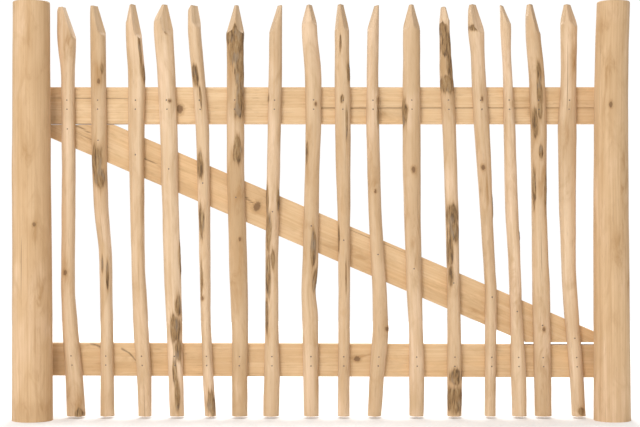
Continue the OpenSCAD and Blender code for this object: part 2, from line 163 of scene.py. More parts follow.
def grown(name, points, tree, values):
    """Runs a mesh through a Geometry Nodes tree and returns the result as a plain mesh object."""
    raw = placed(name + "_raw", points)
    modifier = raw.modifiers.new("grow", "NODES")
    modifier.node_group = tree
    for item in tree.interface.items_tree:
        if item.in_out == "INPUT" and item.name in values:
            modifier[item.identifier] = values[item.name]
    evaluated = raw.evaluated_get(bpy.context.evaluated_depsgraph_get())
    mesh = bpy.data.meshes.new_from_object(evaluated)
    bpy.data.objects.remove(raw)
    mesh.name = name
    return placed(name, mesh)


def new_material(name):
    material = bpy.data.materials.new(name)
    material.use_nodes = True
    material.node_tree.nodes.clear()
    return material, material.node_tree


def shaded(tree, looks):
    shader = add(tree, "ShaderNodeBsdfPrincipled", looks)
    add(tree, "ShaderNodeOutputMaterial", {"Surface": shader.outputs[0]})


def timber_finish(name, pale, golden, sap, streak, stain, figure=0.1, streaks=0.42):
    """Bare, unpainted chestnut: pale sapwood, golden heart, fine pores and brown stains."""
    material, tree = new_material(name)

    def attribute(of, part="Fac"):
        return add(tree, "ShaderNodeAttribute", attribute_name=of).outputs[part]

    grain = attribute("grain", "Vector")

    def figure_noise(low, high, across, along, **more):
        return ramp(tree, wood_noise(tree, grain, across, along, **more), low, high)

    tone = figure_noise(0.30, 0.70, 22.0, 2.6, detail=3.0, distortion=0.5)
    tone = calc(tree, "MULTIPLY_ADD", tone, 0.42, times(tree, attribute("tint"), 0.58))
    fibre = figure_noise(0.35, 0.72, 240.0, 6.0, detail=4.0, roughness=0.6)
    long_streak = figure_noise(0.48, 0.74, 85.0, 1.5, detail=3.0)
    patch = figure_noise(0.46, 0.72, 34.0, 10.0, detail=4.0, roughness=0.62, distortion=0.9)
    blush = figure_noise(0.5, 0.7, 16.0, 5.0, detail=2.0)
    pore = figure_noise(0.64, 0.74, 800.0, 30.0, detail=2.0)
    # drying checks: the dark colour laid along them is painted shade in the fissures, and the bump below
    # also sinks them a little
    check = figure_noise(0.735, 0.765, 150.0, 2.2, detail=1.0)
    flattened = add(tree, "ShaderNodeVectorMath", {0: grain, 1: (1.0, 1.0, 0.06)},
                    operation="MULTIPLY").outputs[0]
    rings = add(tree, "ShaderNodeTexWave", {
        "Vector": flattened, "Scale": 42.0, "Distortion": 7.0, "Detail": 2.0,
        "Detail Scale": 1.2}).outputs["Fac"]
    rings = ramp(tree, rings, 0.55, 0.95)
    soaked = calc(tree, "MULTIPLY_ADD", patch, 0.55, 0.28)
    soaked = calc(tree, "ADD", times(tree, patch, 0.32), times(tree, attribute("stain"), soaked),
                  clamp=True)

    # knots: a stained halo round a dark swirl
    swirl = wood_noise(tree, grain, 190.0, 110.0, detail=3.0, roughness=0.6, distortion=1.2)
    knot = calc(tree, "MULTIPLY_ADD", attribute("knot"), 1.2, -0.35)
    knot = calc(tree, "MULTIPLY_ADD", swirl, 0.7, knot)

    # bark left on by the drawknife: ragged at its rim, brown, fawn and grey in its crust
    ragged = wood_noise(tree, grain, 130.0, 14.0, detail=5.0, roughness=0.62, distortion=0.3)
    bark = calc(tree, "MULTIPLY_ADD", attribute("bark"), 1.25, -0.85)
    bark_place = calc(tree, "MULTIPLY_ADD", ragged, 1.7, bark)
    bark = ramp(tree, bark_place, 0.42, 0.72)
    crust = wood_noise(tree, grain, 230.0, 30.0, detail=5.0, roughness=0.68)
    grey = figure_noise(0.52, 0.66, 70.0, 22.0, detail=3.0)
    bark_colour = blend_colour(tree, ramp(tree, crust, 0.36, 0.52),
                               (0.085, 0.045, 0.02), (0.29, 0.17, 0.072))
    bark_colour = blend_colour(tree, ramp(tree, crust, 0.50, 0.68), bark_colour, (0.42, 0.29, 0.155))
    bark_colour = blend_colour(tree, times(tree, grey, 0.45), bark_colour, (0.27, 0.22, 0.17))

    # sawn ends show the year rings
    end_rings = add(tree, "ShaderNodeTexWave", {
        "Vector": grain, "Scale": 95.0, "Distortion": 2.5, "Detail": 2.0},
        wave_type="RINGS", rings_direction="Z").outputs["Fac"]
    end_colour = blend_colour(tree, times(tree, end_rings, 0.5), golden, stain)

    colour = blend_colour(tree, tone, pale, golden)
    for amount, laid_over in (
            (times(tree, blush, 0.5), sap),
            (times(tree, fibre, 0.30), streak),
            (times(tree, long_streak, streaks), streak),
            (times(tree, rings, figure), streak),
            (soaked, stain),
            (times(tree, pore, 0.30), (0.25, 0.15, 0.07)),
            # painted shade in the drying checks
            (times(tree, check, 0.55), (0.22, 0.13, 0.06)),
            (times(tree, ramp(tree, knot, 0.22, 0.62), 0.55), stain),
            (times(tree, ramp(tree, knot, 0.66, 0.95), 0.8), (0.17, 0.085, 0.035)),
            (times(tree, ramp(tree, bark_place, 0.12, 0.5), 0.5), stain),
            (times(tree, bark, 0.9), bark_colour),
            (ramp(tree, attribute("cut"), 0.35, 0.55), golden),
            (attribute("end"), end_colour),
            # the near-black brown along each crack is painted shade inside it; the groove itself is also
            # sunk into the surface
            (times(tree, attribute("crack"), 0.65), (0.13, 0.075, 0.035))):
        colour = blend_colour(tree, amount, colour, laid_over)

    relief = calc(tree, "ADD", times(tree, fibre, 0.5), times(tree, patch, 0.2))
    relief = calc(tree, "SUBTRACT", relief, times(tree, calc(tree, "ADD", pore, check), 0.6))
    relief = calc(tree, "MULTIPLY_ADD", times(tree, bark, crust), 2.5, relief)
    bump = add(tree, "ShaderNodeBump", {"Height": relief, "Strength": 0.6, "Distance": 0.0011})
    rough = calc(tree, "MULTIPLY_ADD", fibre, 0.12, 0.60)
    rough = calc(tree, "MULTIPLY_ADD", bark, 0.2, rough)
    shaded(tree, {"Base Color": colour, "Roughness": rough, "Normal": bump.outputs[0],
                  "IOR": 1.45, "Specular IOR Level": 0.35})
    return material


def mark_strength(marks, kind, across, height, facing):
    """How strongly each point carries one kind of mark. A mark is (height in millimetres, place
    across from -1 to 1, half width across, half height in millimetres); facing is 0 behind."""
    total = np.zeros(len(across))
    for z, place, wide, tall in marks.get(kind, ()):
        far = ((across - place) / wide) ** 2 + ((height - z / 1000) / (tall / 1000)) ** 2
        total = np.maximum(total, np.exp(-0.9 * far))
    return total * facing


MARKS = ("knot", "bark", "stain", "cut")
surface_tree = hewn_surface_tree()


def wood_piece(name, points, faces, grain, marks, finish, depths, seat=None, sharp=40.0):
    """Builds a timber piece: points and faces, each point's place in the grain, its marks, the
    finish and the depths of its surface. seat is (axis, side, place) of a face it must not pass."""
    mesh = bpy.data.meshes.new(name + "_blank")
    mesh.from_pydata([tuple(p) for p in points], [], faces)
    field = mesh.attributes.new("grain", "FLOAT_VECTOR", "POINT")
    field.data.foreach_set("vector", np.asarray(grain, dtype=np.float32).ravel())
    for kind in MARKS + ("crack", "end", "tint"):
        values = marks.get(kind, 0.0)
        field = mesh.attributes.new(kind, "FLOAT", "POINT")
        field.data.foreach_set("value", np.broadcast_to(values, len(points)).astype(np.float32))
    piece = grown(name, mesh, surface_tree, {**depths, "Finish": finish})
    bpy.data.meshes.remove(mesh)
    if seat:
        axis, side, place = seat
        flat = np.empty(len(piece.data.vertices) * 3, dtype=np.float32)
        piece.data.vertices.foreach_get("co", flat)
        line = flat[axis::3]
        flat[axis::3] = np.minimum(line, place) if side > 0 else np.maximum(line, place)
        piece.data.vertices.foreach_set("co", flat)
    piece.data.shade_smooth()
    piece.data.set_sharp_from_angle(angle=math.radians(sharp))
    return piece


def cad_points(node):
    """Every corner of a CAD node's mesh, as rows of x, y, z."""
    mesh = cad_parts[node].data
    flat = np.empty(len(mesh.vertices) * 3)
    mesh.vertices.foreach_get("co", flat)
    return flat.reshape(-1, 3)


def ring_faces(rings, around, capped=False):
    """Quads between neighbouring rings of a closed tube, pointing outwards, and its two ends."""
    faces = []
    for r in range(rings - 1):
        for k in range(around):
            a, b = r * around + k, r * around + (k + 1) % around
            faces.append((a, b, b + around, a + around))
    if capped:
        last = (rings - 1) * around
        faces += [tuple(range(around - 1, -1, -1)), tuple(range(last, last + around))]
    return faces


POST_STAVES = 120
POST_RING_GAP = 0.0035
POST_LIP = 0.003          # easing round the top
POST_GRAIN_SHIFT = {"hanging_post": 3.1, "latch_post": 7.7}
# What each pole shows, by the kind of mark
POST_MARKS = {
    "hanging_post": {"stain": [(930, -0.55, 0.28, 50), (840, -0.3, 0.4, 50), (745, -0.2, 0.4, 30),
        (550, 0.5, 0.3, 120), (400, 0.2, 0.4, 50), (330, 0.85, 0.25, 90)],
        "knot": [(752, -0.25, 0.13, 11)]},
    "latch_post": {"stain": [(900, 0.1, 0.3, 50), (820, 0.35, 0.35, 50), (620, -0.1, 0.3, 70),
        (450, 0.2, 0.3, 30), (270, 0.5, 0.3, 90), (30, 0, 1, 20)], "knot": [(468, 0.28, 0.12, 8)]}}
POST_TINT = {"hanging_post": 0.18, "latch_post": 0.42}     # how golden each pole is
# How far each pole wanders sideways: (height, how far towards +X)
POST_WANDER = {"hanging_post": [(0.0, 0.0), (0.25, -0.0015), (0.45, -0.003), (0.75, -0.003),
                                (0.90, -0.001), (1.0, 0.0025)],
               "latch_post": [(0.0, 0.0015), (0.3, 0.0005), (0.6, -0.001), (1.0, -0.0015)]}
peeled_finish = timber_finish("peeled_chestnut", pale=(0.68, 0.47, 0.275), golden=(0.52, 0.325, 0.165),
                              sap=(0.78, 0.56, 0.37), streak=(0.46, 0.27, 0.12),
                              stain=(0.42, 0.245, 0.105), figure=0.16, streaks=0.58)


def peeled_post(node):
    """A post as rings of points from foot to head, closed by flat sawn ends."""
    corners = cad_points(node)
    low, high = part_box(node)
    centre = Vector(((low[0] + high[0]) / 2, 0.0, 0.0))
    reach = np.hypot(corners[:, 0] - centre.x, corners[:, 1])
    height = high[2]
    foot_r = reach[corners[:, 2] < 0.001].max()
    lip_z = height - POST_LIP
    head_r = reach[(corners[:, 2] > lip_z - 0.001) & (corners[:, 2] < height - 0.001)].max()
    rings = [(0.0, 0.0), (0.0, 0.35), (0.0, 0.7), (0.0, 0.93)]
    shaft = np.linspace(0.0, lip_z, int(lip_z / POST_RING_GAP))
    rings += [(z, 1.0) for z in shaft]
    rings += [(height - POST_LIP * 0.4, 0.985)]
    rings += [(height, share) for share in (0.95, 0.8, 0.6, 0.4, 0.2, 0.0)]
    heights, offsets = zip(*POST_WANDER[node])
    points, grain, end = [], [], []
    for z, share in rings:
        radius = (foot_r + (head_r - foot_r) * z / height) * max(share, 0.004)
        for k in range(POST_STAVES):
            turn = 2 * math.pi * k / POST_STAVES
            x, y = radius * math.cos(turn), radius * math.sin(turn)
            points.append((centre.x + x + np.interp(z, heights, offsets), y, z))
            grain.append((x, y, z + POST_GRAIN_SHIFT[node]))
            end.append(1.0 if share < 0.96 else 0.0)
    faces = ring_faces(len(rings), POST_STAVES, capped=True)
    points, end = np.array(points), np.array(end)
    across = (points[:, 0] - centre.x) / foot_r
    facing = np.clip(-points[:, 1] / foot_r * 3.0, 0.0, 1.0) * (1.0 - end)
    marks = {kind: mark_strength(POST_MARKS[node], kind, across, points[:, 2], facing)
             for kind in MARKS}
    marks["end"] = end
    marks["tint"] = POST_TINT[node]
    depths = {"Fibre depth": 0.0005, "Fibres per metre": 170.0, "Ripple depth": 0.0030,
              "Ripples per metre": 5.0, "Knot height": 0.0016}
    post = wood_piece(node + "_wood", points, faces, grain, marks, peeled_finish, depths,
                      seat=(2, -1, 0.0))
    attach(post, "posts")
    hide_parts(node)


peeled_post("hanging_post")
peeled_post("latch_post")


# ----------------------------------------
# The rails and the brace: chestnut boards straight from the saw, as thick as a thumb, all
# in one plane. Their arrises are barely broken; the brace's ends are sawn level to lie
# against the two rails, with a hair of daylight left between.
# ----------------------------------------

BOARD_STEP = 0.0026       # spacing of the points that carry the saw's texture
BOARD_ARRIS = 0.0016      # radius worn on every long edge
sawn_finish = timber_finish("sawn_chestnut", pale=(0.79, 0.575, 0.345), golden=(0.60, 0.38, 0.19),
                            sap=(0.78, 0.50, 0.25), streak=(0.56, 0.34, 0.155),
                            stain=(0.47, 0.28, 0.125), figure=0.20)


def board_section(width, thick, extra=()):
    """The rim of a board's section as (across, through) pairs, going round from the lower
    front edge, with each flat and each arris evenly divided."""
    w, t, r = width / 2, thick / 2, BOARD_ARRIS
    flats = sorted(set(np.linspace(-w + r, w - r, int(width / BOARD_STEP)).tolist()) | set(extra))
    sides = np.linspace(-t + r, t - r, int(thick / BOARD_STEP))
    rim = [(c, -t) for c in flats]
    rim += [(w - r + r * math.sin(a), -t + r - r * math.cos(a)) for a in (0.52, 1.05)]
    rim += [(w, v) for v in sides]
    rim += [(w - r + r * math.cos(a), t - r + r * math.sin(a)) for a in (0.52, 1.05)]
    rim += [(c, t) for c in reversed(flats)]
    rim += [(-w + r - r * math.sin(a), t - r + r * math.cos(a)) for a in (0.52, 1.05)]
    rim += [(-w, v) for v in reversed(sides)]
    rim += [(-w + r - r * math.cos(a), -t + r - r * math.sin(a)) for a in (0.52, 1.05)]
    return rim, len(flats)


def sawn_board(node, middle, tilt, width, span, marks, cracks, shift, tint, extra=()):
    """A board whose long axis falls by tilt; span(across) gives where it starts and ends along
    that axis. cracks are ((across, along), (across, along), half width) on its front."""
    low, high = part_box(node)
    thick = high[1] - low[1]
    along = np.array([math.cos(tilt), 0.0, -math.sin(tilt)])
    across = np.array([math.sin(tilt), 0.0, math.cos(tilt)])
    rim, flats = board_section(width, thick, extra)
    longest = max(span(c)[1] - span(c)[0] for c, _ in rim)
    steps = int(longest / BOARD_STEP)
    places = []
    for k in range(steps + 1):
        for c, v in rim:
            start, stop = span(c)
            places.append((c, v, start + (stop - start) * k / steps))
    places = np.array(places)
    points = (np.array(middle) + places[:, 2:3] * along + places[:, 0:1] * across
              + places[:, 1:2] * np.array([0.0, 1.0, 0.0]))
    around = len(rim)
    faces = [tuple(reversed(f)) for f in ring_faces(steps + 1, around)]
    back = len(rim) // 2
    for base, flip in ((0, False), (steps * around, True)):
        strips = []
        for k in range(flats - 1):
            # the back flat runs the other way round the rim
            mate = back + flats - 1 - k
            strips.append((base + k, base + k + 1, base + mate - 1, base + mate))
        strips.append(tuple(base + i for i in range(flats - 1, back + 1)))
        strips.append(tuple(base + i % around for i in range(back + flats - 1, around + 1)))
        faces += [tuple(reversed(s)) if flip else s for s in strips]
    end = np.zeros(len(points))
    end[:around] = end[-around:] = 0.7
    crack = np.zeros(len(points))
    for (c0, s0), (c1, s1), half in cracks:
        run = np.array([c1 - c0, s1 - s0])
        share = np.clip(((places[:, 0] - c0) * run[0] + (places[:, 2] - s0) * run[1])
                        / (run @ run), 0.0, 1.0)
        far = np.hypot(places[:, 0] - c0 - share * run[0], places[:, 2] - s0 - share * run[1])
        thin = half * (1.1 - 0.5 * share)
        crack = np.maximum(crack, np.clip(1.6 - far / thin, 0.0, 1.0) * (places[:, 1] < 0))
    facing = (places[:, 1] < 0.0).astype(float)
    shown = {kind: mark_strength(marks, kind, places[:, 0] / (width / 2), places[:, 2], facing)
             for kind in MARKS}
    shown.update(end=end, crack=crack, tint=tint)
    grain = np.column_stack([places[:, 0], places[:, 1] + shift * 0.37, places[:, 2] + shift])
    depths = {"Fibre depth": 0.0005, "Fibres per metre": 210.0, "Ripple depth": 0.0006,
              "Ripples per metre": 7.0, "Knot height": 0.0004, "Crack depth": 0.0016}
    piece = wood_piece(node + "_wood", points, faces, grain, shown, sawn_finish, depths,
                       seat=(1, -1, low[1]))
    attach(piece, "leaf")
    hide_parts(node)


def rail_lines(node):
    """A rail's middle, its fall, its width and its length, from its four outer corners."""
    corners = cad_points(node)
    low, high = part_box(node)
    ends = []
    for x in (low[0], high[0]):
        at_end = corners[np.abs(corners[:, 0] - x) < 0.0005]
        ends.append((at_end[:, 2].min(), at_end[:, 2].max()))
    (z0, z1), (z2, z3) = ends
    middle = ((low[0] + high[0]) / 2, (low[1] + high[1]) / 2, (z0 + z1 + z2 + z3) / 4)
    tilt = math.atan2((z0 + z1 - z2 - z3) / 2, high[0] - low[0])
    return middle, tilt, z1 - z0, high[0] - low[0]


def rail(node, marks, cracks, shift, tint, extra=()):
    middle, tilt, width, length = rail_lines(node)
    sawn_board(node, middle, tilt, width, lambda c: (-length / 2, length / 2),
               marks, cracks, shift, tint, extra)


# Marks on a board: height is measured along it from its middle
rail("top_rail",
     {"knot": [(-330, -0.2, 0.35, 12)],
      "stain": [(520, 0.1, 0.6, 30), (-520, 0.3, 0.5, 30), (160, -0.5, 0.3, 20)]},
     [((-0.006, 0.0), (-0.006, 0.69), 0.0010)],
     shift=1.3, tint=0.1, extra=(-0.0072, -0.006, -0.0048))
rail("bottom_rail",
     {"knot": [(-410, 0.4, 0.3, 14), (100, 0.1, 0.25, 12)],
      "stain": [(-400, 0.3, 0.7, 30), (-560, 0, 0.9, 90), (120, 0.1, 0.5, 50)]},
     [((0.039, -0.545), (0.034, -0.530), 0.0022), ((0.034, -0.530), (0.022, -0.505), 0.0018),
      ((0.026, -0.470), (0.016, -0.452), 0.0018), ((0.016, -0.452), (-0.002, -0.436), 0.0014)],
     shift=4.9, tint=0.5)

brace_corners = cad_points("brace")
brace_low, brace_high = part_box("brace")
at_left = brace_corners[np.abs(brace_corners[:, 0] - brace_low[0]) < 0.0005]
at_foot = brace_corners[np.abs(brace_corners[:, 2] - brace_low[2]) < 0.0005]
at_right = brace_corners[np.abs(brace_corners[:, 0] - brace_high[0]) < 0.0005]
brace_tilt = math.atan2(at_left[:, 2].min() - brace_low[2], at_foot[:, 0].min() - brace_low[0])
half_run = (brace_high[0] - brace_low[0]) / 2
upper_drop = at_right[:, 2].max() - (at_left[:, 2].min() - 2 * half_run * math.tan(brace_tilt))
brace_width = upper_drop * math.cos(brace_tilt)
brace_middle = (brace_low[0] + half_run, (brace_low[1] + brace_high[1]) / 2,
                at_left[:, 2].min() - half_run * math.tan(brace_tilt) + upper_drop / 2)
rise = brace_high[2] - brace_middle[2]
fall = brace_middle[2] - brace_low[2]


def brace_span(c):
    """Where a line along the brace leaves its outline: at a rail or at its square end."""
    cos, sin = math.cos(brace_tilt), math.sin(brace_tilt)
    return (max((-half_run - c * sin) / cos, (c * cos - rise) / sin),
            min((half_run - c * sin) / cos, (c * cos + fall) / sin))


# where across the brace its level cut meets its square end, at each end
brace_kinks = (rise * math.cos(brace_tilt) - half_run * math.sin(brace_tilt),
               half_run * math.sin(brace_tilt) - fall * math.cos(brace_tilt))
sawn_board("brace", brace_middle, brace_tilt, brace_width, brace_span,
           {"knot": [(-155, 0, 0.4, 12)],
            "stain": [(-160, 0, 0.9, 30), (-620, 0.2, 1.1, 80), (-420, -0.5, 0.6, 80),
                      (100, -0.6, 0.5, 120), (400, -0.5, 0.6, 100)]},
           [((0.010, -0.655), (0.004, -0.600), 0.0015), ((0.000, -0.47), (-0.003, -0.41), 0.0014),
            ((0.010, -0.19), (0.002, -0.165), 0.0013)], shift=8.2, tint=0.55, extra=brace_kinks)


# ----------------------------------------
# The sixteen pickets: chestnut palings cleft with the grain, flat behind and round in
# front, no two alike, each pointed with two or three strokes. Some keep scraps of bark.
# ----------------------------------------

PICKET_RING_GAP = 0.003
PICKET_FRONT = 22         # points across the round front
PICKET_BACK = 7           # points across the flat back
PICKET_EDGE = 0.34        # how thick a picket's edges are, as a share of its thickness
SHOULDER_RUN_OUT = 0.55   # how quickly a stroke runs out below its shoulder
TIP_LOSS = 0.0096         # how far the axe leans the tip back
TIP_LENGTH = 0.05         # and over what height
STROKE_PASSES = 40        # rounds of slicing until the strokes' planes agree
BEND_PASSES = 60          # rounds of softening along the edges
# Each picket: place of its ridge across the front, how boxy its front is, depth in millimetres
# and turn in degrees of the left and of the right stroke, how golden it is, and its marks
PICKETS = [
    (0.1, 2.6, (10, 0), (73, 15), 0.38, {"knot": [(352, -0.2, 0.35, 10)],
        "stain": [(350, -0.1, 0.8, 30), (30, 0.1, 1.2, 30), (900, 0.3, 0.5, 30)],
        "bark": [(12, 0.5, 0.5, 12)]}),
    (0.05, 2.2, (12, 0), (64, 30), 0.5, {"knot": [(813, 0.15, 0.3, 10), (578, 0.1, 0.4, 12)],
        "stain": [(835, 0.1, 0.9, 30), (550, 0, 1.2, 60), (35, 0, 1.4, 35)],
        "bark": [(842, 0.55, 0.25, 14), (620, -0.25, 0.8, 40), (582, 0.1, 0.8, 26),
        (345, 0.35, 0.22, 35), (372, -0.35, 0.14, 20)]}),
    (0.45, 2, (38, 20), (72, 30), 0.3, {"bark": [(890, 0.7, 0.15, 50), (830, 0.9, 0.14, 25)],
        "knot": [(928, 0.35, 0.14, 5)], "stain": [(620, 0.95, 0.3, 220)]}),
    (0.05, 1.7, (34, 40), (62, 45), 0.12, {"stain": [(948, 0.3, 0.4, 12)],
        "bark": [(935, 0.25, 0.18, 9), (385, 1, 0.16, 45), (270, 0.6, 0.38, 26), (215, 0.2, 0.66, 36),
        (165, 0.45, 0.48, 30), (110, -0.05, 0.28, 36), (55, 0.2, 0.34, 42)],
        "knot": [(765, 0.3, 0.25, 6)]}),
    (0.15, 1.9, (12, 0), (40, 40), 0.3, {"bark": [(828, -0.35, 0.5, 26), (775, 0.15, 0.16, 30),
        (610, -0.45, 0.55, 34), (475, -0.45, 0.48, 42), (335, -0.5, 0.26, 45), (35, 0.35, 0.8, 32)],
        "knot": [(290, -0.4, 0.35, 8)]}),
    (0, 2.3, (60, 30), (60, 30), 0.8, {"bark": [(925, 0, 1.6, 26), (885, 0.2, 0.9, 40),
        (835, 0.45, 0.7, 40), (785, 0.55, 0.45, 30), (748, 0.5, 0.55, 26), (645, 0.3, 0.6, 34)],
        "knot": [(752, 0.45, 0.4, 14), (432, 0.3, 0.22, 8)], "stain": [(870, -0.6, 0.6, 80),
        (550, 0.1, 0.8, 100), (360, 0, 0.9, 100)]}),
    (-0.1, 2.4, (60, 20), (12, 0), 0.42, {"stain": [(875, 0, 0.4, 40)], "bark": [(772, -0.95, 0.18, 8),
        (530, -0.8, 0.24, 35), (525, 0.85, 0.22, 30), (450, -0.5, 0.42, 45), (385, 0.15, 0.3, 26),
        (340, -0.5, 0.42, 50), (250, -0.7, 0.26, 45)]}),
    # On the eighth picket the stain at 958 mm, on the tip right of its ridge, is painted shadow, not a
    # stain in the wood.
    (-0.15, 2.2, (44, 20), (44, 25), 0.35, {"stain": [(958, 0.2, 0.6, 14), (630, -0.4, 0.5, 50),
        (420, -0.5, 0.5, 50), (120, 0.6, 0.4, 60)], "knot": [(758, 0.25, 0.22, 7)],
        "bark": [(640, -0.75, 0.18, 28), (405, 0.4, 0.36, 42), (335, 0.75, 0.3, 34)]}),
    (0.1, 2.2, (58, 20), (58, 25), 0.42, {"bark": [(945, 0.85, 0.2, 7), (905, -0.2, 0.14, 22),
        (832, 0.85, 0.28, 22), (770, -0.1, 0.22, 10), (715, 0.45, 0.12, 40), (430, -0.85, 0.14, 35),
        (345, 0.25, 0.12, 45)], "stain": [(100, 0.1, 0.5, 50)]}),
    (-0.05, 2, (56, 25), (14, 0), 0.5, {"knot": [(766, 0.8, 0.34, 13), (548, 0.1, 0.25, 7),
        (216, 0.75, 0.35, 8)], "bark": [(728, 0.8, 0.22, 30)], "stain": [(660, 0, 0.6, 50),
        (560, 0, 0.6, 20), (220, 0.4, 0.5, 30)]}),
    (0, 2.4, (56, 30), (56, 30), 0.52, {"bark": [(740, -0.85, 0.32, 30)],
        "knot": [(745, -0.65, 0.28, 12), (600, 0.15, 0.32, 12)], "stain": [(610, 0.3, 0.5, 45),
        (450, 0, 0.8, 100)]}),
    (0.1, 2.1, (36, 15), (28, 15), 0.6, {"bark": [(938, -0.35, 0.8, 24), (900, 0.3, 1.1, 32),
        (850, 0.6, 0.7, 36), (806, 0.1, 1.4, 22), (490, 0, 1, 28), (450, 0.2, 0.9, 26),
        (400, -0.5, 0.5, 40), (345, -0.4, 0.4, 30), (100, 0.1, 0.8, 22), (45, 0, 1.3, 34)],
        "stain": [(760, 0, 1.2, 30), (300, 0, 1.1, 15)], "cut": [(851, -0.55, 0.48, 27)]}),
    (-0.2, 1.8, (14, 25), (58, 45), 0.35, {"bark": [(942, -0.35, 0.6, 8), (512, 1, 0.12, 30)],
        "knot": [(770, 0.15, 0.22, 10), (605, -0.25, 0.35, 10)], "stain": [(790, 0.1, 0.4, 20),
        (560, -0.1, 0.7, 50)]}),
    (0.05, 2.2, (12, 0), (40, 25), 0.3, {"stain": [(758, 0.6, 0.4, 10), (300, 0, 0.7, 60)],
        "bark": [(440, 1, 0.12, 12)]}),
    (0, 2.3, (24, 15), (64, 25), 0.52, {"knot": [(984, -0.1, 0.25, 5), (640, 0.1, 0.25, 8),
        (215, 0.1, 0.25, 8)], "bark": [(832, 0.2, 0.32, 30), (785, 0.15, 0.38, 34),
        (745, 0.1, 0.28, 26), (705, -0.55, 0.32, 42), (645, 0.1, 0.32, 18), (555, 0.8, 0.2, 55),
        (560, -0.75, 0.2, 50)], "stain": [(800, 0, 0.9, 60), (600, 0.1, 1, 100), (140, 0, 1, 120)]}),
    (0, 2.1, (44, 25), (44, 40), 0.25, {"stain": [(860, 0.6, 0.35, 30), (650, 0, 0.5, 60),
        (230, 0, 0.9, 40)], "bark": [(18, 0.2, 0.5, 9)]})]
cleft_finish = timber_finish("cleft_chestnut", pale=(0.77, 0.575, 0.385), golden=(0.47, 0.30, 0.15),
                             sap=(0.86, 0.64, 0.45), streak=(0.52, 0.32, 0.155),
                             stain=(0.41, 0.235, 0.10), figure=0.08)


def picket_edges(node):
    """Heights, and the left and right edges of a CAD picket at each of them."""
    corners = cad_points(node)
    levels = {}
    for x, y, z in corners:
        levels.setdefault(round(z, 4), []).append(x)
    rows = sorted((z, min(xs), max(xs)) for z, xs in levels.items() if max(xs) - min(xs) > 0.006)
    return np.array(rows)


def strokes(points, back, cuts):
    """Slices the points that stand proud of the axe strokes back to their planes. Each cut is
    (lower edge point, upper edge point, turn towards the front, side); its plane holds the
    sloping line between the two edge points on the back face."""
    planes = []
    for edge_low, edge_high, turn, side in cuts:
        slope = np.array([edge_high[0] - edge_low[0], 0.0, edge_high[1] - edge_low[1]])
        yaw = math.radians(turn)
        outward = np.array([side * math.cos(yaw), -math.sin(yaw), 0.0])
        # tilt the outward direction so that the plane holds the sloping line
        outward[2] = -outward[0] * slope[0] / slope[2]
        planes.append((np.array([edge_low[0], back, edge_low[1]]), outward))
    for _ in range(STROKE_PASSES):
        for origin, outward in planes:
            below = np.maximum(origin[2] - points[:, 2], 0.0) * SHOULDER_RUN_OUT
            proud = np.maximum((points - origin) @ outward - below, 0.0)
            level = outward[:2]
            points[:, :2] -= proud[:, None] * level / (level @ level)
        points[:, 1] = np.minimum(points[:, 1], back)


